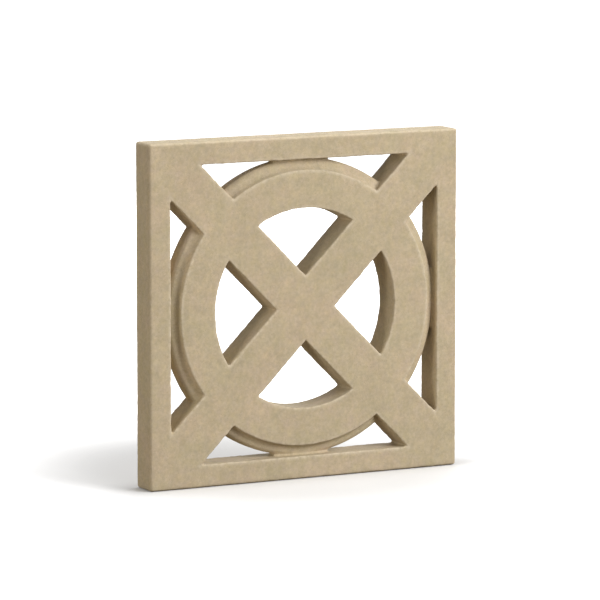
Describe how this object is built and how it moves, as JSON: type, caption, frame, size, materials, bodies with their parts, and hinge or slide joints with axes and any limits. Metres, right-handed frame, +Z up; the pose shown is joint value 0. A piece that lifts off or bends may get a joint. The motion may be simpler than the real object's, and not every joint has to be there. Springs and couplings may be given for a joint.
{
  "type": "decorative screen block",
  "caption": "Square cast stone screen block: a frame with crossing diagonal bars and a hollow-edged ring, open between them, laid up into pierced garden walls.",
  "frame": {"origin": "middle of the bed face, on the floor", "axes": "+Z up, +X across the face to the right, +Y from the front face to the back"},
  "size_m": [0.72, 0.07, 0.72],
  "materials": {
    "cast_stone": "matt sand-coloured cast stone with a fine even grain and softly worn arrises"
  },
  "bodies": {
    "root": {"screen_block": "cast_stone"}
  },
  "joints": []
}
